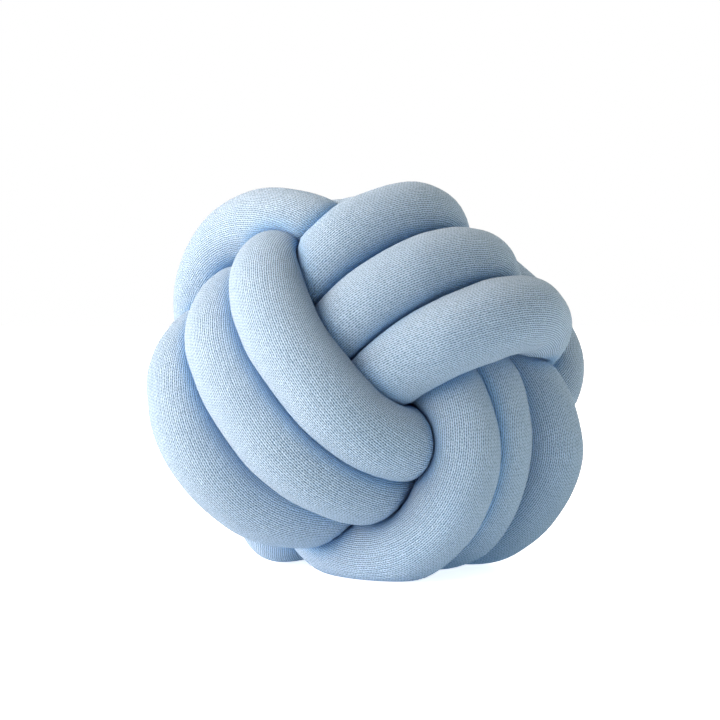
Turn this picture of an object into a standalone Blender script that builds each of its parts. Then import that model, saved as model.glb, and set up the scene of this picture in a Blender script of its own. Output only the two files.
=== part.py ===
"""Knot cushion: one long stuffed tube of fine jersey, tied into a ball.

The knot has three bands, square to each other, and each band is three turns of the tube side by side.
Every band passes over one of the other two and under the third, so each of the ball's six sides shows
three strands. One tube makes all nine turns: it goes from turn to turn where a neighbouring band covers
it, and from band to band through the middle of the ball, where its ends are joined out of sight.

Each band is laid out in axes of its own: out from the ball's centre to the crown of its strands, along
those strands, and aside across the band, from its middle turn to its two side turns.
"""
import math
from collections import namedtuple

import bmesh
import bpy
import numpy as np
from mathutils import Matrix

MM = 0.001

# ---------------------------------------------------------------- driving sizes, metres and degrees
TUBE_RADIUS = 26 * MM         # the tube where nothing presses on it
STRAND_GAP = 1.8 * MM         # clear space left between two strands that press on each other
BEND_FILL = 0.92              # share of its own bend's radius that the tube may fill
SAME_PLACE = 13 * MM          # along the tube: nearer than this is the same place of a bend
SAME_BEND = 57 * MM           # along the tube: nearer than this is the same bend, further is another strand
STRAND_REACH = 60 * MM        # strands whose middle lines are further apart than this never press
CENTRE = (-6.1 * MM, 2.2 * MM, 131.5 * MM)   # the ball's centre; the surface it rests on is at height 0
LEAN = math.radians(-51)      # how the ball lies: first about X, then about Y, then about Z
ROLL = math.radians(4.5)
TURN = math.radians(-128.5)

RING_COUNT = 400              # cross-sections along the tube
RING_SIDES = 12               # corners of one cross-section
PATH_SAMPLES = 1600           # points on the middle line that the strands' spacing is measured to
CURVE_STEPS = 16              # steps between two stations in which the middle line's length is measured
FIRST_SIDE = (0.3, 0.5, 0.8)  # the first cross-section's first axis is square to this direction
LEVEL = 1e-6                  # a ray that falls less than this share of its length counts as level

# The corners of a free cross-section stand out a little, so that it has the area of the round tube's.
SIDE_ANGLE = 2 * math.pi / RING_SIDES
CORNER_RADIUS = TUBE_RADIUS * math.sqrt(SIDE_ANGLE / math.sin(SIDE_ANGLE))

# One turn, quarter by quarter. It starts on the outside, dives under the neighbouring band and passes
# through beneath it. Millimetres in the band's own axes; a side turn's aside is mirrored for the other one.
Station = namedtuple("Station", "out along aside")
MIDDLE_TURN = {
    "crown": Station(117, 0, 0),
    "shoulder": Station(103, 42, 0),
    "dive": Station(62, 74, 0),
    "under": Station(0, 69, 0),
}
SIDE_TURN = {
    "crown": Station(121, 0, 47),
    "shoulder": Station(99, 51, 45),
    "dive": Station(51, 70, 38),
    "under": Station(0, 63, 38),
}

# How each strand lies, by the band that it belongs to, the side of the ball and its place in the band.
# lift is further out, shift is further aside, slant is aside at the far end and back at the near end,
# near and far are how much further along it dives at its two ends. Millimetres.
Lie = namedtuple("Lie", "lift shift slant near far")
DIVE_SHARE = 0.5              # share of a strand's lie that is left where it dives
FRONT_LIES = {
    "left": (Lie(7, -1, -5, 4, -3), Lie(6, 1, 0, 5, 12), Lie(-4, 1, -2, 7, 8)),
    "front": (Lie(7, -5, -5, -3, 7), Lie(6, -4, 3, -3, 2), Lie(2, -5, -6, -1, 1)),
    "top": (Lie(-13, -5, -2, -10, 1), Lie(0, -5, -1, -4, 2), Lie(2, -4, -1, 5, -3)),
}
BACK_LIES = {
    "left": (Lie(-4, 1, -1, -3, 1), Lie(-2, 7, 1, 1, -2), Lie(6, 13, 4, 0, 6)),
    "front": (Lie(-7, 1, 0, -3, -4), Lie(-7, 0, 2, -7, -4), Lie(-2, 6, 3, -2, 3)),
    "top": (Lie(-2, -3, 2, -1, 1), Lie(-1, -1, -3, 0, 2), Lie(-3, -2, 1, 2, -4)),
}

# Where the tube crosses the hollow middle from one band to the next, in the first band's own axes.
CORE_CROSSING = (
    Station(-29, -57, 40),
    Station(-13, -18, 35),
    Station(-24, 2, 15),
    Station(-35, 0, -25),
    Station(-36, 25, -57),
)

# The ball's X, Y and Z are numbered 0, 1 and 2: which of them is each band's out, along and aside.
BAND_AXES = {"left": (0, 1, 2), "front": (1, 2, 0), "top": (2, 0, 1)}
TURNS = (-1, 0, 1)            # one side turn, the middle turn, the other side turn

KNIT_BLUE = (0.38, 0.54, 0.76, 1.0)
KNIT_ROUGHNESS = 0.92


# ---------------------------------------------------------------- the tube's middle line
def station(name, turn):
    """A turn's named station, its aside set for the turn's place in the band."""
    if turn == 0:
        return np.array(MIDDLE_TURN[name], float)
    out, along, aside = SIDE_TURN[name]
    return np.array((out, along, turn * aside), float)


def outer_pass(turn, lie, side):
    """The five stations of a strand that shows, side 1 on the band's front and -1 on its back."""
    stations = []
    for name, end, share in (
        ("dive", -1, DIVE_SHARE),
        ("shoulder", -1, 1.0),
        ("crown", 0, 1.0),
        ("shoulder", 1, 1.0),
        ("dive", 1, DIVE_SHARE),
    ):
        point = station(name, turn) * (side, end, 1)
        later = lie.far if end > 0 else lie.near
        point += share * np.array((side * lie.lift, end * later, lie.shift + end * lie.slant))
        stations.append(point)
    return stations[::side]


def turn_stations(band, turn):
    """One whole turn, from its first outer pass to the hidden pass that leads to the next turn."""
    stations = outer_pass(turn, FRONT_LIES[band][turn + 1], 1)
    stations.append(station("under", turn))
    stations += outer_pass(turn, BACK_LIES[band][turn + 1], -1)
    if turn < TURNS[-1]:
        below = station("under", turn) + station("under", turn + 1)
        stations.append(below / 2 * (1, -1, 1))
    return stations


def tube_stations():
    """Every station of the closed tube in the ball's axes, metres."""
    points = []
    for band, axes in BAND_AXES.items():
        stations = []
        for turn in TURNS:
            stations += turn_stations(band, turn)
        stations += [np.array(step, float) for step in CORE_CROSSING]
        for own in stations:
            point = np.zeros(3)
            point[list(axes)] = own
            points.append(point * MM)
    return np.array(points)


def closed_curve(knots):
    """A smooth closed cubic through the knots, as a function of the distance run from the first one."""
    count = len(knots)
    chords = np.roll(knots, -1, axis=0) - knots
    span = np.linalg.norm(chords, axis=1)
    before = np.roll(span, 1)
    rise = chords / span[:, None]
    rise_before = np.roll(rise, 1, axis=0)
    matrix = np.zeros((count, count))
    row = np.arange(count)
    matrix[row, row] = 2 * (span + before)
    matrix[row, row - 1] = span
    matrix[row, (row + 1) % count] = before
    slope = np.linalg.solve(matrix, 3 * (span[:, None] * rise_before + before[:, None] * rise))
    starts = np.concatenate(([0.0], np.cumsum(span)))

    def at(run):
        i = np.clip(np.searchsorted(starts, run, side="right") - 1, 0, count - 1)
        j = (i + 1) % count
        t = ((run - starts[i]) / span[i])[:, None]
        length = span[i][:, None]
        here = (2 * t**3 - 3 * t**2 + 1) * knots[i] + (t**3 - 2 * t**2 + t) * slope[i] * length
        there = (3 * t**2 - 2 * t**3) * knots[j] + (t**3 - t**2) * slope[j] * length
        return here + there

    return at, starts[-1]


def even_points(knots, count):
    """Points at even steps round the closed curve, and the curve's length."""
    at, total = closed_curve(knots)
    run = np.linspace(0.0, total, CURVE_STEPS * len(knots) + 1)
    steps = np.linalg.norm(np.diff(at(run), axis=0), axis=1)
    travelled = np.concatenate(([0.0], np.cumsum(steps)))
    length = travelled[-1]
    return at(np.interp(np.arange(count) * length / count, travelled, run)), length


# ---------------------------------------------------------------- the tube's skin
def ring_axes(path):
    """Two axes square to the path at each of its points, turning no more than the path makes them."""
    count = len(path)
    tangent = np.roll(path, -1, axis=0) - np.roll(path, 1, axis=0)
    tangent /= np.linalg.norm(tangent, axis=1)[:, None]
    carried = [np.cross(tangent[0], FIRST_SIDE)]
    carried[0] /= np.linalg.norm(carried[0])
    for i in range(1, count + 1):
        t = tangent[i % count]
        axis = carried[-1] - np.dot(carried[-1], t) * t
        carried.append(axis / np.linalg.norm(axis))
    first = np.array(carried[:count])
    second = np.cross(tangent, first)
    closing = math.atan2(np.dot(carried[count], second[0]), np.dot(carried[count], first[0]))
    back = (-closing * np.arange(count) / count)[:, None]
    turned = np.cos(back) * first + np.sin(back) * second
    return turned, np.cross(tangent, turned)


def reach(centre, rays, others, gap):
    """How far each ray runs before it is half way, less half the gap, to any of the other points."""
    offsets = others - centre
    squares = (offsets**2).sum(axis=1)
    facing = 2 * (gap / 2 + rays @ offsets.T)
    limits = np.full(facing.shape, np.inf)
    np.divide(squares - gap**2 / 4, facing, out=limits, where=facing > LEVEL * MM)
    return limits.min(axis=1)


def ring_radii(path, rays, line, length):
    """The tube's radius along each ray: round where it is free, flat where another strand or the
    surface under the ball presses on it, and never more than its own bend leaves room for."""
    radii = np.full(rays.shape[:2], CORNER_RADIUS)
    place = np.arange(len(path)) * length / len(path)
    line_place = np.arange(len(line)) * length / len(line)
    for i, centre in enumerate(path):
        apart = np.abs(line_place - place[i])
        apart = np.minimum(apart, length - apart)
        close = np.linalg.norm(line - centre, axis=1) < STRAND_REACH
        strands = line[close & (apart > SAME_BEND)]
        bend = line[(apart > SAME_PLACE) & (apart <= SAME_BEND)]
        if len(strands):
            radii[i] = np.minimum(radii[i], reach(centre, rays[i], strands, STRAND_GAP))
        radii[i] = np.minimum(radii[i], BEND_FILL * reach(centre, rays[i], bend, 0.0))
        falling = np.maximum(-rays[i, :, 2], LEVEL)
        radii[i] = np.minimum(radii[i], centre[2] / falling)
    return radii


def lay_ball(points):
    """Turn the ball as it lies and lift it to rest on the surface at height 0."""
    turned = Matrix.Rotation(TURN, 3, "Z") @ Matrix.Rotation(ROLL, 3, "Y") @ Matrix.Rotation(LEAN, 3, "X")
    return points @ np.array(turned).T + CENTRE


def tube_rings():
    """The skin's points, ring after ring round the closed tube."""
    knots = lay_ball(tube_stations())
    path, length = even_points(knots, RING_COUNT)
    line, _ = even_points(knots, PATH_SAMPLES)
    first, second = ring_axes(path)
    angle = np.arange(RING_SIDES) * SIDE_ANGLE
    rays = np.cos(angle)[None, :, None] * first[:, None] + np.sin(angle)[None, :, None] * second[:, None]
    radii = ring_radii(path, rays, line, length)
    return path[:, None] + radii[..., None] * rays


# ---------------------------------------------------------------- Blender objects
def clear_scene():
    for item in list(bpy.data.objects):
        bpy.data.objects.remove(item, do_unlink=True)


def knit_material():
    material = bpy.data.materials.new("blue_jersey")
    material.use_nodes = True
    shader = material.node_tree.nodes["Principled BSDF"]
    shader.inputs["Base Color"].default_value = KNIT_BLUE
    shader.inputs["Roughness"].default_value = KNIT_ROUGHNESS
    shader.inputs["Metallic"].default_value = 0.0
    material.diffuse_color = KNIT_BLUE
    return material


def skin_mesh(name, rings):
    """A closed mesh: each ring is joined to the next, and the last to the first."""
    mesh = bpy.data.meshes.new(name)
    skin = bmesh.new()
    loops = [[skin.verts.new(point) for point in ring] for ring in rings]
    for i, ring in enumerate(loops):
        after = loops[(i + 1) % len(loops)]
        for j in range(RING_SIDES):
            k = (j + 1) % RING_SIDES
            skin.faces.new((ring[j], ring[k], after[k], after[j]))
    bmesh.ops.triangulate(skin, faces=skin.faces[:])
    bmesh.ops.recalc_face_normals(skin, faces=skin.faces[:])
    skin.to_mesh(mesh)
    skin.free()
    mesh.shade_smooth()
    return mesh


def build():
    clear_scene()
    mesh = skin_mesh("knotted_tube", tube_rings())
    mesh.materials.append(knit_material())
    tube = bpy.data.objects.new("knotted_tube", mesh)
    bpy.context.scene.collection.objects.link(tube)


build()
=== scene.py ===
# %% [markdown]
# # A knot cushion in blue jersey
# The real cushion is one long knitted tube. It is stuffed, tied into a ball-shaped knot, and its two ends
# are sewn together out of sight. This lesson makes it in Blender in the same order: first the line that the
# tube follows, then its soft skin, then the stitches of the knit, and last a small photo studio round it.

# %% Load the frame
import math
from collections import namedtuple

import bpy
import numpy as np
from mathutils import Matrix, Vector


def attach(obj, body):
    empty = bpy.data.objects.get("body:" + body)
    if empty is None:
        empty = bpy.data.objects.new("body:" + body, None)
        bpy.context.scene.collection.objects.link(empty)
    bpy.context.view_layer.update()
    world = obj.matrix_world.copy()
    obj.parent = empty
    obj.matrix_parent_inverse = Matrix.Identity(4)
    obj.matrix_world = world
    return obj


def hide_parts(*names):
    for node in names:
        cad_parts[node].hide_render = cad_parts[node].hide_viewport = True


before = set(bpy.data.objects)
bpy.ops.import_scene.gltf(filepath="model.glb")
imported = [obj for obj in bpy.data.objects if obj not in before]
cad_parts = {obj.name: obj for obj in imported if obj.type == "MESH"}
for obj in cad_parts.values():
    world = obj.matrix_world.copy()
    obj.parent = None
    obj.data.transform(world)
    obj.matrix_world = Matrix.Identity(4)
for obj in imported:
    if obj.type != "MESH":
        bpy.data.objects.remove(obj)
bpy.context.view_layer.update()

# %% [markdown]
# ## Sizes
# A maker starts with the tube: about 50 mm thick when nothing presses on it, from knit with nearly sixty
# columns of stitches round it. Everything else is measured against that. Keeping the sizes together, with
# names, makes it easy to try a fatter tube or a coarser knit later.

# %% The maker's sizes
MM = 0.001
TUBE_RADIUS = 26 * MM
STRAND_GAP = 0.7 * MM        # about two thirds of this stays clear between strands that press on each other
BEND_FILL = 0.93             # share of its own bend's radius that the tube may fill
SAME_PLACE = 13 * MM         # along the tube: nearer than this is the same place of a bend
SAME_BEND = 57 * MM          # along the tube: nearer than this is the same bend, further is another strand
STRAND_REACH = 60 * MM       # strands whose middle lines are further apart than this never press
EDGE_SOFTNESS = 14           # higher makes the change from round to pressed flat more sudden
CENTRE = (-6.1 * MM, 2.2 * MM, 131.5 * MM)   # the ball's centre; the surface it rests on is at height 0
LEAN = math.radians(-51)     # how the ball lies: first about X, then about Y, then about Z
ROLL = math.radians(4.5)
TURN = math.radians(-128.5)

RING_COUNT = 1440            # cross-sections along the tube
RING_SIDES = 66              # corners of one cross-section
PATH_SAMPLES = 1600          # points on the middle line that the strands' spacing is measured to

WALES = 57                   # columns of stitches round the tube
COURSE = 1.8 * MM            # height of one row of stitches at the tube's middle line
KNIT_LEAN = math.radians(-8)   # how far the columns lean from the tube's own direction
print("stitches are", round(2 * math.pi * TUBE_RADIUS / WALES / MM, 2), "mm wide")

# %% [markdown]
# ## How the knot runs
# The ball has three bands, square to each other, and each band is three turns of the tube side by side. Every
# band passes over one of the other two and under the third. A turn can be written down with four places:
# its crown on the outside, its shoulder, where it dives under the next band, and the bottom of its way
# beneath. A table of such places is easier to read and to change than a long list of points. The outer two
# turns of a band lie aside of the middle one, and they bulge a little further out.

# %% The places of one turn, in millimetres out from the centre, along the strand and aside
Station = namedtuple("Station", "out along aside")
MIDDLE_TURN = {
    "crown": Station(117, 0, 0),
    "shoulder": Station(103, 42, 0),
    "dive": Station(62, 74, 0),
    "under": Station(0, 69, 0),
}
SIDE_TURN = {
    "crown": Station(121, 0, 47),
    "shoulder": Station(99, 51, 45),
    "dive": Station(51, 70, 38),
    "under": Station(0, 63, 38),
}
print("crowns stand", MIDDLE_TURN["crown"].out, "to", SIDE_TURN["crown"].out, "mm out from the centre")

# %% [markdown]
# ## Each strand's own lie
# No hand ties a perfect knot, so each strand lies in its own way: lifted outwards or sunk, shifted aside,
# slanted, or diving later or earlier at its near and its far end. Noise could do that, but then no strand
# would lie as on the real cushion. One short row for each strand says it better, in millimetres.

# %% How each strand lies
Lie = namedtuple("Lie", "lift shift slant near far")
FRONT_LIES = {
    "left": (Lie(7, -1, -5, 4, -3), Lie(6, 1, 0, 5, 12), Lie(-4, 1, -2, 7, 8)),
    "front": (Lie(7, -5, -5, -3, 7), Lie(6, -4, 3, -3, 2), Lie(2, -5, -6, -1, 1)),
    "top": (Lie(-13, -5, -2, -10, 1), Lie(0, -5, -1, -4, 2), Lie(2, -4, -1, 5, -3)),
}
BACK_LIES = {
    "left": (Lie(-4, 1, -1, -3, 1), Lie(-2, 7, 1, 1, -2), Lie(6, 13, 4, 0, 6)),
    "front": (Lie(-7, 1, 0, -3, -4), Lie(-7, 0, 2, -7, -4), Lie(-2, 6, 3, -2, 3)),
    "top": (Lie(-2, -3, 2, -1, 1), Lie(-1, -1, -3, 0, 2), Lie(-3, -2, 1, 2, -4)),
}

# Where the tube crosses the hidden middle from one band to the next.
CORE_CROSSING = (
    Station(-29, -57, 40),
    Station(-13, -18, 35),
    Station(-24, 2, 15),
    Station(-35, 0, -25),
    Station(-36, 25, -57),
)

# Each band's own out, along and aside, as axes of the ball.
BAND_AXES = {"left": (0, 1, 2), "front": (1, 2, 0), "top": (2, 0, 1)}
TURNS = (-1, 0, 1)
print("the knot has", len(BAND_AXES), "bands of", len(TURNS), "turns")

# %% [markdown]
# ## From the tables to points
# The hand that ties the knot leads one tube through all its places in turn. The code does the same: it walks
# down the tables, band after band and turn after turn, and lists the points that the tube passes. They could
# be typed in by hand, but this way one changed number in a table moves a whole strand. At the end the ball is
# turned the way it lies, and set down on the floor.

# %% From the tables to places in the ball
DIVE_SHARE = 0.5              # where it dives, a strand follows only this share of its own lie


def station(name, turn):
    """A turn's named place, its aside set for the turn's place in the band."""
    if turn == 0:
        return np.array(MIDDLE_TURN[name], float)
    out, along, aside = SIDE_TURN[name]
    return np.array((out, along, turn * aside), float)


def outer_pass(turn, lie, side):
    """The five places of a strand that shows, side 1 on the band's front and -1 on its back."""
    places = []
    for name, end, share in (
        ("dive", -1, DIVE_SHARE),
        ("shoulder", -1, 1.0),
        ("crown", 0, 1.0),
        ("shoulder", 1, 1.0),
        ("dive", 1, DIVE_SHARE),
    ):
        place = station(name, turn) * (side, end, 1)
        later = lie.far if end > 0 else lie.near
        place += share * np.array((side * lie.lift, end * later, lie.shift + end * lie.slant))
        places.append(place)
    return places[::side]


def turn_places(band, turn):
    """One whole turn, from its first outer pass to the hidden pass that leads to the next turn."""
    places = outer_pass(turn, FRONT_LIES[band][turn + 1], 1)
    places.append(station("under", turn))
    places += outer_pass(turn, BACK_LIES[band][turn + 1], -1)
    if turn < TURNS[-1]:
        below = station("under", turn) + station("under", turn + 1)
        places.append(below / 2 * (1, -1, 1))
    return places


def knot_places():
    """Every place that the closed tube passes, in metres, in the ball's own axes."""
    points = []
    for band, axes in BAND_AXES.items():
        places = []
        for turn in TURNS:
            places += turn_places(band, turn)
        places += [np.array(step, float) for step in CORE_CROSSING]
        for own in places:
            point = np.zeros(3)
            point[list(axes)] = own
            points.append(point * MM)
    return np.array(points)


def lay_ball(points):
    """Turn the ball as it lies and lift it to rest on the surface at height 0."""
    turned = Matrix.Rotation(TURN, 3, "Z") @ Matrix.Rotation(ROLL, 3, "Y") @ Matrix.Rotation(LEAN, 3, "X")
    return points @ np.array(turned).T + CENTRE


knot = lay_ball(knot_places())
print("the tube is led through", len(knot), "places")

# %% [markdown]
# ## The tube's middle line
# A stuffed tube can't kink, so a smooth curve is laid through the places. A closed cubic spline does this: it
# bends as evenly as it can, and its end meets its start. Blender's own curves could do it too, but the skin
# needs cross-sections at exactly even steps, and those are simple to work out from the spline's formula.

# %% A smooth closed curve
CURVE_STEPS = 16              # straight steps that measure the way from one place to the next


def closed_curve(knots):
    """A smooth closed cubic through the knots, as a function of the distance run from the first one."""
    count = len(knots)
    chords = np.roll(knots, -1, axis=0) - knots
    span = np.linalg.norm(chords, axis=1)
    before = np.roll(span, 1)
    rise = chords / span[:, None]
    rise_before = np.roll(rise, 1, axis=0)
    matrix = np.zeros((count, count))
    row = np.arange(count)
    matrix[row, row] = 2 * (span + before)
    matrix[row, row - 1] = span
    matrix[row, (row + 1) % count] = before
    slope = np.linalg.solve(matrix, 3 * (span[:, None] * rise_before + before[:, None] * rise))
    starts = np.concatenate(([0.0], np.cumsum(span)))

    def at(run):
        i = np.clip(np.searchsorted(starts, run, side="right") - 1, 0, count - 1)
        j = (i + 1) % count
        t = ((run - starts[i]) / span[i])[:, None]
        length = span[i][:, None]
        here = (2 * t**3 - 3 * t**2 + 1) * knots[i] + (t**3 - 2 * t**2 + t) * slope[i] * length
        there = (3 * t**2 - 2 * t**3) * knots[j] + (t**3 - t**2) * slope[j] * length
        return here + there

    return at, starts[-1]


def even_points(knots, count):
    """Points at even steps round the closed curve, and the curve's length."""
    at, total = closed_curve(knots)
    run = np.linspace(0.0, total, CURVE_STEPS * len(knots) + 1)
    steps = np.linalg.norm(np.diff(at(run), axis=0), axis=1)
    travelled = np.concatenate(([0.0], np.cumsum(steps)))
    length = travelled[-1]
    return at(np.interp(np.arange(count) * length / count, travelled, run)), length


path, tube_length = even_points(knot, RING_COUNT)
line, _ = even_points(knot, PATH_SAMPLES)
courses = round(tube_length / COURSE)
creep = round(tube_length * math.tan(KNIT_LEAN) * WALES / (2 * math.pi * TUBE_RADIUS))
print("the tube is", round(tube_length, 2), "m long, with", courses, "rows of stitches")
print("on the way its columns creep aside by", creep, "columns")

# %% [markdown]
# ## Which way is up on a cross-section
# Each cross-section needs two directions of its own, and they mustn't spin from one to the next, or the
# columns of the knit would wind round the tube like a barber's pole. So each pair is carried on from the one
# before, turned only as far as the path turns it. The small twist that is left when the tube closes is
# shared out over its whole length.

# %% Directions that follow the tube
FIRST_SIDE = (0.3, 0.5, 0.8)  # any direction will do that the path doesn't start in


def ring_axes(points):
    """Two axes square to the path at each of its points, turning no more than the path makes them."""
    count = len(points)
    tangent = np.roll(points, -1, axis=0) - np.roll(points, 1, axis=0)
    tangent /= np.linalg.norm(tangent, axis=1)[:, None]
    carried = [np.cross(tangent[0], FIRST_SIDE)]
    carried[0] /= np.linalg.norm(carried[0])
    for i in range(1, count + 1):
        t = tangent[i % count]
        axis = carried[-1] - np.dot(carried[-1], t) * t
        carried.append(axis / np.linalg.norm(axis))
    first = np.array(carried[:count])
    second = np.cross(tangent, first)
    closing = math.atan2(np.dot(carried[count], second[0]), np.dot(carried[count], first[0]))
    back = (-closing * np.arange(count) / count)[:, None]
    turned = np.cos(back) * first + np.sin(back) * second
    return turned, np.cross(tangent, turned)


first, second = ring_axes(path)
angle = np.arange(RING_SIDES) * 2 * math.pi / RING_SIDES
rays = np.cos(angle)[None, :, None] * first[:, None] + np.sin(angle)[None, :, None] * second[:, None]
print("each cross-section has", RING_SIDES, "rays")

# %% [markdown]
# ## Pressing the strands together
# A stuffed tube is round where it is free. Where it meets another strand both give way, and they share the
# room: each ends half way. A cloth simulation could find that shape, but with six metres of tube rubbing
# against itself it would take far too long, so the rule is worked out for each ray instead. A ray ends at
# the tube's own radius, half way to another strand, before the middle of its own bend, or at the floor,
# whichever comes first. Taking a soft minimum of the four rounds the edges off, as the filling does.

# %% How far each ray can reach
LEVEL = 1e-6                  # a ray that faces something by less than this never meets it
ring_place = np.arange(RING_COUNT) * tube_length / RING_COUNT
line_place = np.arange(PATH_SAMPLES) * tube_length / PATH_SAMPLES


def nearby(ring, distance):
    """The middle line near a ring: first that of the other strands, then that of the ring's own bend."""
    apart = np.abs(line_place - ring_place[ring])
    apart = np.minimum(apart, tube_length - apart)
    close = np.linalg.norm(line - path[ring], axis=1) < distance
    strands = line[close & (apart > SAME_BEND)]
    bend = line[(apart > SAME_PLACE) & (apart <= SAME_BEND)]
    return strands, bend


def reach(centre, directions, others, gap):
    """How far each ray runs until its end is only half the gap nearer to the centre than to another point."""
    offsets = others - centre
    squares = (offsets**2).sum(axis=1)
    facing = 2 * (gap / 2 + directions @ offsets.T)
    limits = np.full(facing.shape, np.inf)
    np.divide(squares - gap**2 / 4, facing, out=limits, where=facing > LEVEL)
    return limits.min(axis=1)


def soft_least(limits):
    """The least of the limits, a little less where two of them are alike."""
    return (np.array(limits) ** -EDGE_SOFTNESS).sum(axis=0) ** (-1 / EDGE_SOFTNESS)


def pressed_radii(free):
    """The tube's radius along each ray, with free as its radius where nothing presses on it."""
    radii = np.empty(rays.shape[:2])
    for i, centre in enumerate(path):
        strands, bend = nearby(i, STRAND_REACH)
        limits = [free[i], BEND_FILL * reach(centre, rays[i], bend, 0.0)]
        if len(strands):
            limits.append(reach(centre, rays[i], strands, STRAND_GAP))
        limits.append(centre[2] / np.maximum(-rays[i, :, 2], LEVEL))
        radii[i] = soft_least(limits)
    return radii


print("the strands' middle line has a point every", round(tube_length / PATH_SAMPLES / MM, 1), "mm")

# %% [markdown]
# ## Uneven stuffing
# Filling is pushed into the tube by the handful, so its thickness wanders by a fraction of a millimetre. A
# sculptor would push the skin about by hand. A few long waves along the tube, each at its own angle round it,
# do the same here, and they give the light something soft to play on.

# %% Fill the tube and press it into the knot
Lump = namedtuple("Lump", "waves round height start")
LUMPS = (
    Lump(71, 1, 0.30 * MM, 0.4),
    Lump(113, 2, 0.22 * MM, 2.1),
    Lump(167, 1, 0.16 * MM, 4.0),
    Lump(241, 3, 0.10 * MM, 5.2),
)


def stuffed_radii():
    """The tube's free radius at each ray of each ring, with the filling's lumps."""
    along = np.arange(RING_COUNT)[:, None] * 2 * math.pi / RING_COUNT
    free = np.full((RING_COUNT, RING_SIDES), TUBE_RADIUS)
    for lump in LUMPS:
        free += lump.height * np.sin(lump.waves * along + lump.round * angle[None] + lump.start)
    return free


radii = pressed_radii(stuffed_radii())
skin_points = path[:, None] + radii[..., None] * rays
print("pressed strands are down to", round(radii.min() / MM, 1), "mm from their middle line")

# %% [markdown]
# ## Where the creases are
# The creases get painted shade: a fuller, darker blue, for the light that bounces between the blue strands.
# The material needs to know where that is, so each point of the skin gets a number: 1 where another strand
# lies on it, fading to 0 a few millimetres further out. It is stored on the mesh as an attribute.

# %% Measure the creases
CREASE_WIDTH = 6 * MM         # the painted crease shade fades over this distance from the other strand


def crease_depths():
    """For each point of the skin, 1 where another strand touches it, fading to 0 away from it."""
    depths = np.zeros(rays.shape[:2])
    for i in range(RING_COUNT):
        strands, _ = nearby(i, STRAND_REACH + CREASE_WIDTH)
        if len(strands):
            away = np.linalg.norm(skin_points[i][:, None] - strands[None], axis=2).min(axis=1)
            clear = np.maximum(away - TUBE_RADIUS, 0.0)
            depths[i] = np.exp(-((clear / CREASE_WIDTH) ** 2))
    return depths


creases = crease_depths()
near_share = float((creases > 0.5).mean())
print(round(100 * near_share), "percent of the skin lies close to another strand, most of it out of sight")

# %% [markdown]
# ## The skin as a mesh
# The rings are joined into one closed skin of four-sided faces, the last ring to the first. Two maps are laid
# on it. The first says for each corner how far round the tube and how many metres along it lies: the
# knit is drawn in those terms, so its columns follow every bend, crowd together inside it and spread outside
# it, as real jersey does. The second cuts the tube into strips side by side, for a tidy square texture.

# %% Sew the rings into a skin
STRIPS = 6                    # lengths that the tube is cut into for the second map
STRIP_MARGIN = 0.004          # bare border round each strip, as a share of the map


def ring_faces():
    """The corners of each face as ring and side numbers, counted on past the last ring and side."""
    ring, side = np.meshgrid(np.arange(RING_COUNT), np.arange(RING_SIDES), indexing="ij")
    rings = np.stack((ring, ring, ring + 1, ring + 1), axis=-1).reshape(-1, 4)
    sides = np.stack((side, side + 1, side + 1, side), axis=-1).reshape(-1, 4)
    return rings, sides


def knit_map(rings, sides):
    """How far round each corner lies, as a share of the whole way, and how far along, in metres."""
    return np.stack((sides / RING_SIDES, rings * tube_length / RING_COUNT), axis=-1)


def strip_map(rings, sides):
    """The tube cut into strips that lie side by side in a square."""
    per_strip = RING_COUNT // STRIPS
    strip = rings.min(axis=1, keepdims=True) // per_strip
    across = STRIP_MARGIN + (1 / STRIPS - 2 * STRIP_MARGIN) * sides / RING_SIDES
    along = STRIP_MARGIN + (1 - 2 * STRIP_MARGIN) * (rings - strip * per_strip) / per_strip
    return np.stack((strip / STRIPS + across, along), axis=-1)


def sew_skin(name):
    """One closed mesh object, smooth, with its two maps."""
    rings, sides = ring_faces()
    corners = (rings % RING_COUNT) * RING_SIDES + sides % RING_SIDES
    mesh = bpy.data.meshes.new(name)
    mesh.from_pydata(skin_points.reshape(-1, 3).tolist(), [], corners.tolist())
    for map_name, places in (("Knit", knit_map(rings, sides)), ("OFBake", strip_map(rings, sides))):
        layer = mesh.uv_layers.new(name=map_name)
        layer.uv.foreach_set("vector", places.astype(np.float32).ravel())
    depth = mesh.attributes.new("Crease", "FLOAT", "POINT")
    depth.data.foreach_set("value", creases.astype(np.float32).ravel())
    mesh.shade_smooth()
    mesh.validate()
    skin = bpy.data.objects.new(name, mesh)
    bpy.context.scene.collection.objects.link(skin)
    return skin


cushion = sew_skin("knotted_jersey_tube")
print(cushion.name, "has", len(cushion.data.polygons), "faces")

# %% [markdown]
# ## One stitch
# Jersey is columns of V-shaped stitches. Each arm of a V is a piece of yarn that leans outwards as it climbs
# and lies on the arm below it. A small pit lies at the foot of each V and between the arms of two columns,
# so the pits make a lattice, and a shallow groove runs between the columns. The shade in the pits and
# grooves is painted into the colour, as painted shade. Yarn is twisted, and that turns cloth which is
# knitted in the round: its columns creep slowly round the tube. No two stitches are quite alike either, so
# soft noise pushes them about.
#
# There are far too many stitches to model, so they are worked out in the shader: their height is given to a
# Bump node, and the painted shade of their hollows to the colour.
# They go into a node group, because a second knit, in another gauge, could then use the same stitches.


# %% A helper that adds one sum to a node group
def sum_node(group, operation, *values):
    """A Math node with its inputs linked or set, and the socket that holds its result."""
    node = group.nodes.new("ShaderNodeMath")
    node.operation = operation
    node.location = (len(group.nodes) * 40 - 400, -(len(group.nodes) % 5) * 160)
    for socket, value in zip(node.inputs, values):
        if isinstance(value, (int, float)):
            socket.default_value = value
        else:
            group.links.new(value, socket)
    return node.outputs[0]


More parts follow.
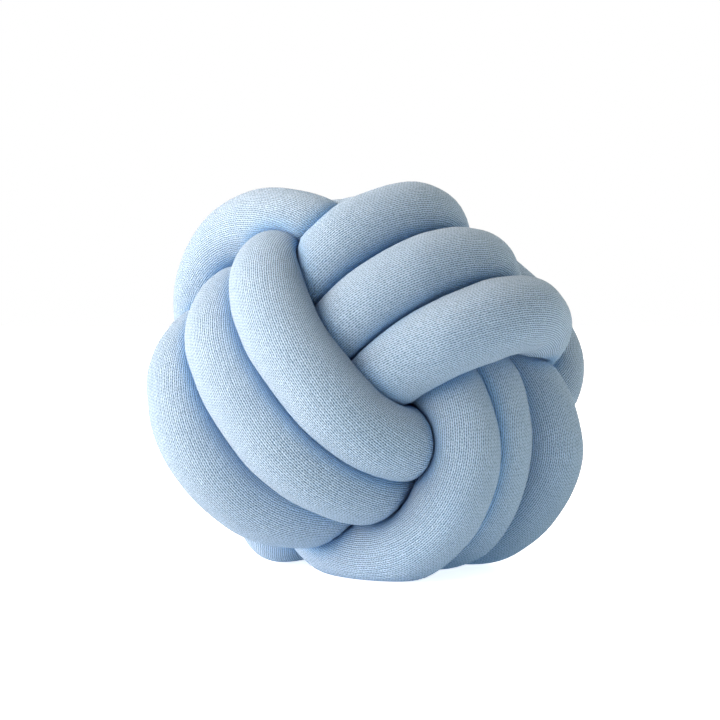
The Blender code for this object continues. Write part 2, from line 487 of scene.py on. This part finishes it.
# %% A helper that starts a node group
def new_group(name, inputs, outputs):
    """A shader node group with named sockets. Each input is given as name, kind and starting value."""
    group = bpy.data.node_groups.new(name, "ShaderNodeTree")
    for socket_name, kind, value in inputs:
        socket = group.interface.new_socket(socket_name, in_out="INPUT", socket_type=kind)
        if value is not None:
            socket.default_value = value
    for socket_name, kind in outputs:
        group.interface.new_socket(socket_name, in_out="OUTPUT", socket_type=kind)
    entry = group.nodes.new("NodeGroupInput")
    entry.location = (-800, 0)
    leave = group.nodes.new("NodeGroupOutput")
    leave.location = (2400, 0)
    return group, entry.outputs, leave.inputs


# %% Where a point lies on the knit
STITCH_NOISE = 0.8            # soft patches to a stitch, so that neighbours are pushed nearly alike


def even_knit(group, given):
    """How many columns round and how many rows along a point lies, on a knit with even stitches."""
    place = group.nodes.new("ShaderNodeSeparateXYZ")
    group.links.new(given["Place"], place.inputs[0])
    straight = sum_node(group, "MULTIPLY", place.outputs["X"], given["Wales"])
    creep = sum_node(group, "MULTIPLY", place.outputs["Y"], given["Creep per metre"])
    wale = sum_node(group, "ADD", straight, creep)
    course = sum_node(group, "MULTIPLY", place.outputs["Y"], given["Courses per metre"])
    return wale, course


def soft_pushes(group, wale, course, unevenness):
    """Three soft random pushes, for the stitches' columns, their rows and their depth."""
    stitch = group.nodes.new("ShaderNodeCombineXYZ")
    group.links.new(wale, stitch.inputs["X"])
    group.links.new(course, stitch.inputs["Y"])
    wander = group.nodes.new("ShaderNodeTexNoise")
    wander.noise_dimensions = "2D"
    wander.inputs["Scale"].default_value = STITCH_NOISE
    wander.inputs["Detail"].default_value = 1.0
    group.links.new(stitch.outputs[0], wander.inputs["Vector"])
    push = group.nodes.new("ShaderNodeSeparateXYZ")
    group.links.new(wander.outputs["Color"], push.inputs[0])
    pushes = []
    for part in ("X", "Y", "Z"):
        centred = sum_node(group, "SUBTRACT", push.outputs[part], 0.5)
        pushes.append(sum_node(group, "MULTIPLY", centred, unevenness))
    return pushes


# %% How high the yarn stands
ARM_LIFT = 0.35               # an arm stays this much proud of the column, also at its ends
ARM_HEIGHT = 0.6              # how high the arms and the columns stand, as shares of the relief
COLUMN_HEIGHT = 0.3


def yarn_height(group, climb, across, beside):
    """The arms, round like yarn and low in the grooves beside them, on a column that is gently arched."""
    step = sum_node(group, "FRACT", climb)
    over = sum_node(group, "SINE", sum_node(group, "MULTIPLY", step, math.pi))
    yarn = sum_node(group, "MULTIPLY", sum_node(group, "ADD", over, ARM_LIFT), beside)
    column = sum_node(group, "SUBTRACT", 1.0, sum_node(group, "MULTIPLY", across, across))
    arms = sum_node(group, "MULTIPLY", yarn, ARM_HEIGHT)
    return sum_node(group, "ADD", arms, sum_node(group, "MULTIPLY", column, COLUMN_HEIGHT))


# %% Where the hollows get their painted shade
DEPTH_PUSH = 3.0              # the hollows' painted shade grows or shrinks by this many times the soft push


def hollow_shade(group, given, course, across, beside, push):
    """Painted shade of the pits, at the foot of each V and half a row higher at the column's edge, and the
    grooves.
    """
    rise = sum_node(group, "SUBTRACT", course, sum_node(group, "MULTIPLY", across, 0.5))
    turn = sum_node(group, "MULTIPLY", sum_node(group, "FRACT", rise), math.pi)
    gap_over = sum_node(group, "SUBTRACT", 1.0, sum_node(group, "SINE", turn))
    gap_beside = sum_node(group, "SUBTRACT", 1.0, beside)
    pit = sum_node(group, "MULTIPLY", sum_node(group, "MULTIPLY", gap_over, gap_beside), given["Pit shade"])
    groove = sum_node(group, "MULTIPLY", gap_beside, given["Groove shade"])
    depth = sum_node(group, "ADD", sum_node(group, "MULTIPLY", push, DEPTH_PUSH), 1.0)
    hollow = sum_node(group, "MULTIPLY", sum_node(group, "ADD", pit, groove), depth)
    return sum_node(group, "MINIMUM", hollow, 1.0)


def own_shade(group, wale, climb):
    """A random number that is the same all over one stitch and another on the next."""
    own = group.nodes.new("ShaderNodeCombineXYZ")
    group.links.new(sum_node(group, "FLOOR", wale), own.inputs["X"])
    group.links.new(sum_node(group, "FLOOR", climb), own.inputs["Y"])
    noise = group.nodes.new("ShaderNodeTexWhiteNoise")
    noise.noise_dimensions = "2D"
    group.links.new(own.outputs[0], noise.inputs["Vector"])
    return noise.outputs["Value"]


# %% The stitches of plain jersey
ROW_PUSH = 3.0                # rows are pushed up and down this many times as far as columns aside


def jersey_stitches():
    """Height, painted hollow shade and shades of the stitches, from each point's place round and along the
    tube.
    """
    group, given, result = new_group(
        "jersey_stitches",
        (
            ("Place", "NodeSocketVector", None),
            ("Wales", "NodeSocketFloat", 60.0),
            ("Courses per metre", "NodeSocketFloat", 500.0),
            ("Creep per metre", "NodeSocketFloat", 0.0),
            ("Arm lean", "NodeSocketFloat", 1.5),
            ("Pit shade", "NodeSocketFloat", 2.0),
            ("Groove shade", "NodeSocketFloat", 0.5),
            ("Unevenness", "NodeSocketFloat", 0.2),
        ),
        (("Height", "NodeSocketFloat"), ("Hollow shade", "NodeSocketFloat"), ("Shade", "NodeSocketFloat")),
    )
    even_wale, even_course = even_knit(group, given)
    aside_push, row_push, depth_push = soft_pushes(group, even_wale, even_course, given["Unevenness"])
    wale = sum_node(group, "ADD", even_wale, aside_push)
    course = sum_node(group, "ADD", even_course, sum_node(group, "MULTIPLY", row_push, ROW_PUSH))

    # across runs from 0 at the foot of the V to 1 at the edge of the column
    share = sum_node(group, "FRACT", wale)
    aside = sum_node(group, "ABSOLUTE", sum_node(group, "SUBTRACT", share, 0.5))
    across = sum_node(group, "MULTIPLY", aside, 2.0)
    beside = sum_node(group, "SINE", sum_node(group, "MULTIPLY", across, math.pi))
    climb = sum_node(group, "SUBTRACT", course, sum_node(group, "MULTIPLY", across, given["Arm lean"]))

    height = yarn_height(group, climb, across, beside)
    hollow = hollow_shade(group, given, course, across, beside, depth_push)
    group.links.new(sum_node(group, "ADD", height, depth_push), result["Height"])
    group.links.new(hollow, result["Hollow shade"])
    group.links.new(own_shade(group, wale, climb), result["Shade"])
    return group


stitches = jersey_stitches()
print(stitches.name, "uses", len(stitches.nodes), "nodes")

# %% [markdown]
# ## The jersey
# The yarn is a soft, matt light blue, painted a fuller, darker blue in the creases as painted shade. Its
# hollows are painted darker, as painted shade too. Each stitch takes the dye a little differently, and the
# cloth as a whole is slightly cloudy. Each of these is a colour that is mixed into the one before. Short
# loose fibres catch the light at the edges, which is what the shader's sheen is for. Sheen is the same all
# over, so it is set on the shader itself.

# %% The jersey's colours
YARN_BLUE = (0.38, 0.585, 0.88, 1.0)
# painted shade: the fuller, darker blue of the creases, where light bounces between the strands
CREASE_SHADE_BLUE = (0.24, 0.51, 0.92, 1.0)
# painted shade of the knit's pits and grooves
HOLLOW_SHADE_BLUE = (0.08, 0.18, 0.34, 1.0)
FIBRE_WHITE = (0.92, 0.96, 1.0, 1.0)
WHITE = (1.0, 1.0, 1.0, 1.0)
STITCH_SHADE = (0.90, 0.92, 0.95, 1.0)   # the darkest stitches, as a share of the yarn's colour
CLOUD_SHADE = (0.93, 0.95, 0.97, 1.0)    # the same for the darkest clouds
CLOUD_SCALE = 22.0            # clouds to a metre
CLOUD_DETAIL = 3.0            # how many finer layers each cloud has
CLOUD_EDGES = (0.3, 0.7)      # the noise's values where clouds are darkest and where they end
print("a cloud is about", round(1 / CLOUD_SCALE / MM), "mm across")


# %% Helpers that mix and choose colours
def mix_colours(tree, blend, factor, one, other, location=(-400, 0)):
    """The result of a Mix node set to colours. The factor and both colours are linked or set."""
    node = tree.nodes.new("ShaderNodeMix")
    node.data_type = "RGBA"
    node.blend_type = blend
    node.location = location
    # the node has sockets for every kind of value: 6 and 7 are its two colours, output 2 is their mix
    for socket, value in ((node.inputs[0], factor), (node.inputs[6], one), (node.inputs[7], other)):
        if isinstance(value, (float, tuple)):
            socket.default_value = value
        else:
            tree.links.new(value, socket)
    return node.outputs[2]


def colour_ramp(tree, value, edges, low, high, location):
    """A colour that runs from low to high while the value runs from one edge to the other."""
    ramp = tree.nodes.new("ShaderNodeValToRGB")
    ramp.location = location
    for stop, edge, colour in zip(ramp.color_ramp.elements, edges, (low, high)):
        stop.position = edge
        stop.color = colour
    tree.links.new(value, ramp.inputs["Fac"])
    return ramp.outputs["Color"]


# %% Dye and clouds
def crease_shaded_yarn(tree, shade, pressed):
    """The yarn's blue, fuller in the creases as painted shade, and each stitch a little lighter or darker."""
    dye = colour_ramp(tree, shade, (0.0, 1.0), STITCH_SHADE, WHITE, (-950, 300))
    # painted shade: the creases get the fuller, darker blue
    blue = mix_colours(tree, "MIX", pressed, YARN_BLUE, CREASE_SHADE_BLUE, (-850, 0))
    return mix_colours(tree, "MULTIPLY", 1.0, blue, dye, (-650, 300))


def clouded(tree, yarn):
    """The yarn's colour, slightly cloudy over the cloth as a whole."""
    body = tree.nodes.new("ShaderNodeTexCoord")
    body.location = (-1200, 600)
    cloud = tree.nodes.new("ShaderNodeTexNoise")
    cloud.location = (-1000, 600)
    cloud.inputs["Scale"].default_value = CLOUD_SCALE
    cloud.inputs["Detail"].default_value = CLOUD_DETAIL
    tree.links.new(body.outputs["Object"], cloud.inputs["Vector"])
    haze = colour_ramp(tree, cloud.outputs["Fac"], CLOUD_EDGES, CLOUD_SHADE, WHITE, (-800, 600))
    return mix_colours(tree, "MULTIPLY", 1.0, yarn, haze, (-450, 400))


# %% The jersey's material
PRESSED_SHUT = 0.3            # in a crease, the hollows' painted shade loses this share of its darkness
HOLLOW_DEPTH = 0.8 * MM       # from the top of the yarn to the bottom of a hollow
STITCH_LOOK = {"Arm lean": 1.5, "Pit shade": 2.15, "Groove shade": 0.65, "Unevenness": 0.28}
CLOTH_FINISH = {
    "Roughness": 0.85,
    "Specular IOR Level": 0.15,
    "Sheen Weight": 0.15,
    "Sheen Roughness": 0.5,
    "Sheen Tint": FIBRE_WHITE,
}


def laid_stitches(tree):
    """The stitches' node group, laid out by the map named Knit."""
    where = tree.nodes.new("ShaderNodeUVMap")
    where.uv_map = "Knit"
    where.location = (-1400, 0)
    knit = tree.nodes.new("ShaderNodeGroup")
    knit.node_tree = stitches
    knit.location = (-1200, 0)
    knit.inputs["Wales"].default_value = WALES
    knit.inputs["Courses per metre"].default_value = courses / tube_length
    knit.inputs["Creep per metre"].default_value = creep / tube_length
    for name, value in STITCH_LOOK.items():
        knit.inputs[name].default_value = value
    tree.links.new(where.outputs["UV"], knit.inputs["Place"])
    return knit


def blue_jersey():
    """Matt knitted cloth, its stitches in the colour and in the relief."""
    material = bpy.data.materials.new("blue_jersey")
    material.use_nodes = True
    tree = material.node_tree
    shader = tree.nodes["Principled BSDF"]
    for name, value in CLOTH_FINISH.items():
        shader.inputs[name].default_value = value

    knit = laid_stitches(tree)
    crease = tree.nodes.new("ShaderNodeAttribute")
    crease.attribute_name = "Crease"
    crease.location = (-1200, -300)
    pressed = crease.outputs["Fac"]
    cloth = clouded(tree, crease_shaded_yarn(tree, knit.outputs["Shade"], pressed))

    # the hollows' painted shade is lighter where the cloth is pressed, as the hollows close up a little there
    shut = sum_node(tree, "MULTIPLY", pressed, PRESSED_SHUT)
    open_share = sum_node(tree, "SUBTRACT", 1.0, shut)
    hollow = sum_node(tree, "MULTIPLY", knit.outputs["Hollow shade"], open_share)
    # painted shade: the hollows are mixed towards the dark hollow blue
    colour = mix_colours(tree, "MIX", hollow, cloth, HOLLOW_SHADE_BLUE, (-250, 300))
    tree.links.new(colour, shader.inputs["Base Color"])

    relief = tree.nodes.new("ShaderNodeBump")
    relief.location = (-250, -200)
    relief.inputs["Strength"].default_value = 1.0
    relief.inputs["Distance"].default_value = HOLLOW_DEPTH
    tree.links.new(knit.outputs["Height"], relief.inputs["Height"])
    tree.links.new(relief.outputs["Normal"], shader.inputs["Normal"])
    return material


jersey = blue_jersey()
cushion.data.materials.append(jersey)
print(jersey.name, "is on", cushion.name)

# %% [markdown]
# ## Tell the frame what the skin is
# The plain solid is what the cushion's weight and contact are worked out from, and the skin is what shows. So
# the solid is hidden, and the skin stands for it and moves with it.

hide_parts("knotted_tube")
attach(cushion, "root")
print("the cushion rides on the part's only body")

# %% [markdown]
# ## A small photo studio
# The cushion lies on a pale floor that runs away to white: a table that is lit from below, as for catalogue
# pictures. Its glow is cool, which brightens the cushion's underside and keeps the creases blue. Lamps under
# a sheet of milky glass would give the same, but a floor that glows by itself is simpler and has no noise.
# The camera sees a brighter table than the cushion does, so that almost no shadow is left on it.

# %% Floor
FLOOR_SIZE = 60.0                   # metres, so that its edge is never seen
FLOOR_WHITE = (0.86, 0.90, 0.93, 1.0)
TABLE_GLOW = (0.73, 0.88, 0.86)     # what the lit table sends up at the cushion, a cool white
TABLE_BRIGHT = 0.37
CAMERA_GLOW = (0.80, 0.84, 0.88)    # the table as the camera sees it, over what the screens light up
FLOOR_FINISH = {
    "Base Color": FLOOR_WHITE,
    "Roughness": 0.9,
    "Specular IOR Level": 0.1,
    "Emission Strength": 1.0,
}


def pale_floor():
    """A wide white floor that glows."""
    mesh = bpy.data.meshes.new("studio_floor")
    half = FLOOR_SIZE / 2
    corners = [(-half, -half, 0), (half, -half, 0), (half, half, 0), (-half, half, 0)]
    mesh.from_pydata(corners, [], [(0, 1, 2, 3)])
    paint = bpy.data.materials.new("floor_white")
    paint.use_nodes = True
    tree = paint.node_tree
    shader = tree.nodes["Principled BSDF"]
    for name, value in FLOOR_FINISH.items():
        shader.inputs[name].default_value = value
    upward = [channel * TABLE_BRIGHT for channel in TABLE_GLOW]
    seen = tree.nodes.new("ShaderNodeLightPath")
    glow = mix_colours(tree, "MIX", seen.outputs["Is Camera Ray"], (*upward, 1.0), (*CAMERA_GLOW, 1.0))
    tree.links.new(glow, shader.inputs["Emission Color"])
    mesh.materials.append(paint)
    floor = bpy.data.objects.new("studio_floor", mesh)
    bpy.context.scene.collection.objects.link(floor)
    return floor


floor = pale_floor()
print(floor.name, "is", FLOOR_SIZE, "m wide")

# %% [markdown]
# ## Light from two broad screens
# The light is the plain soft kind that a studio gets from large screens: a bright one low on the left, and a
# weak one behind, on the right. Both are warm, which pales the yarn where they reach it. Lamps could do this,
# but a screen can also be painted straight into the world's background, as a glow that is strongest in one
# direction and fades away from it. That lights the cushion evenly from afar, with little noise.

# %% Light
# Side and height are degrees; narrow says how quickly the glow fades round the screen's middle.
Screen = namedtuple("Screen", "side height narrow bright colour")
SCREENS = (
    Screen(-75, 20, 6.0, 17.2, (1.0, 0.755, 0.57)),   # the bright one, left and a little to the front
    Screen(130, 20, 6.0, 4.6, (1.0, 0.86, 0.64)),     # the weak one, behind and on the right
)
ROOM_LIGHT = 0.015            # what the rest of the room gives
ROOM_WHITE = (0.95, 0.975, 1.0, 1.0)


def screen_light(tree, direction, screen):
    """The light that one broad screen sends from a direction: strongest at its middle, fading outwards."""
    side, height = math.radians(screen.side), math.radians(screen.height)
    middle = (math.sin(side) * math.cos(height), -math.cos(side) * math.cos(height), math.sin(height))
    facing = tree.nodes.new("ShaderNodeVectorMath")
    facing.operation = "DOT_PRODUCT"
    facing.inputs[1].default_value = middle
    tree.links.new(direction, facing.inputs[0])
    front = sum_node(tree, "MAXIMUM", facing.outputs["Value"], 0.0)
    fading = sum_node(tree, "POWER", front, screen.narrow)
    glow = tree.nodes.new("ShaderNodeBackground")
    glow.inputs["Color"].default_value = (*screen.colour, 1.0)
    tree.links.new(sum_node(tree, "MULTIPLY", fading, screen.bright), glow.inputs["Strength"])
    return glow.outputs[0]


def studio_room():
    """A room that lights the cushion from its screens, and looks plain white to the camera."""
    world = bpy.data.worlds.new("studio_room")
    bpy.context.scene.world = world
    world.use_nodes = True
    tree = world.node_tree
    room = tree.nodes["Background"]
    room.inputs["Color"].default_value = ROOM_WHITE
    room.inputs["Strength"].default_value = ROOM_LIGHT
    direction = tree.nodes.new("ShaderNodeTexCoord").outputs["Generated"]
    light = room.outputs[0]
    for screen in SCREENS:
        added = tree.nodes.new("ShaderNodeAddShader")
        tree.links.new(light, added.inputs[0])
        tree.links.new(screen_light(tree, direction, screen), added.inputs[1])
        light = added.outputs[0]
    white = tree.nodes.new("ShaderNodeBackground")
    white.inputs["Color"].default_value = WHITE
    seen = tree.nodes.new("ShaderNodeLightPath")
    choose = tree.nodes.new("ShaderNodeMixShader")
    tree.links.new(seen.outputs["Is Camera Ray"], choose.inputs[0])
    tree.links.new(light, choose.inputs[1])
    tree.links.new(white.outputs[0], choose.inputs[2])
    tree.links.new(choose.outputs[0], tree.nodes["World Output"].inputs["Surface"])
    return world


room = studio_room()
bpy.context.scene.view_settings.view_transform = "Standard"
print(room.name, "has", len(SCREENS), "screens")

# %% [markdown]
# ## The camera
# The photograph was taken almost level with the cushion, from a little over a metre away. A short lens close
# by would swell the nearest strands, so the lens is a long one. The aim is a touch above and left of the
# ball's centre, which puts the ball where it lies in the photograph.

# %% Camera
CAMERA_DISTANCE = 1.238
CAMERA_HEIGHT = math.radians(2.0)          # how far above level the camera looks from
LENS = 88.57                               # in millimetres, and so is the sensor's width
SENSOR_WIDTH = 36.0
AIM_OFF_CENTRE = (-2.9 * MM, 0.0, 13.1 * MM)


def photo_camera():
    """The camera, aimed a little off the ball's centre."""
    data = bpy.data.cameras.new("photo_camera")
    data.lens = LENS
    data.sensor_width = SENSOR_WIDTH
    camera = bpy.data.objects.new("photo_camera", data)
    back = Vector((0.0, -math.cos(CAMERA_HEIGHT), math.sin(CAMERA_HEIGHT)))
    camera.location = Vector(CENTRE) + CAMERA_DISTANCE * back
    aim = Vector(CENTRE) + Vector(AIM_OFF_CENTRE) - camera.location
    camera.rotation_euler = aim.to_track_quat("-Z", "Y").to_euler()
    bpy.context.scene.collection.objects.link(camera)
    bpy.context.scene.camera = camera
    return camera


camera = photo_camera()
print("the camera stands at", [round(value, 3) for value in camera.location])

# %% [markdown]
# ## Bring the scene up to date
# Last, Blender brings every object's place up to date. The finished skin may stand only a little proud
# of the plain solid.

# %% Update the scene
bpy.context.view_layer.update()
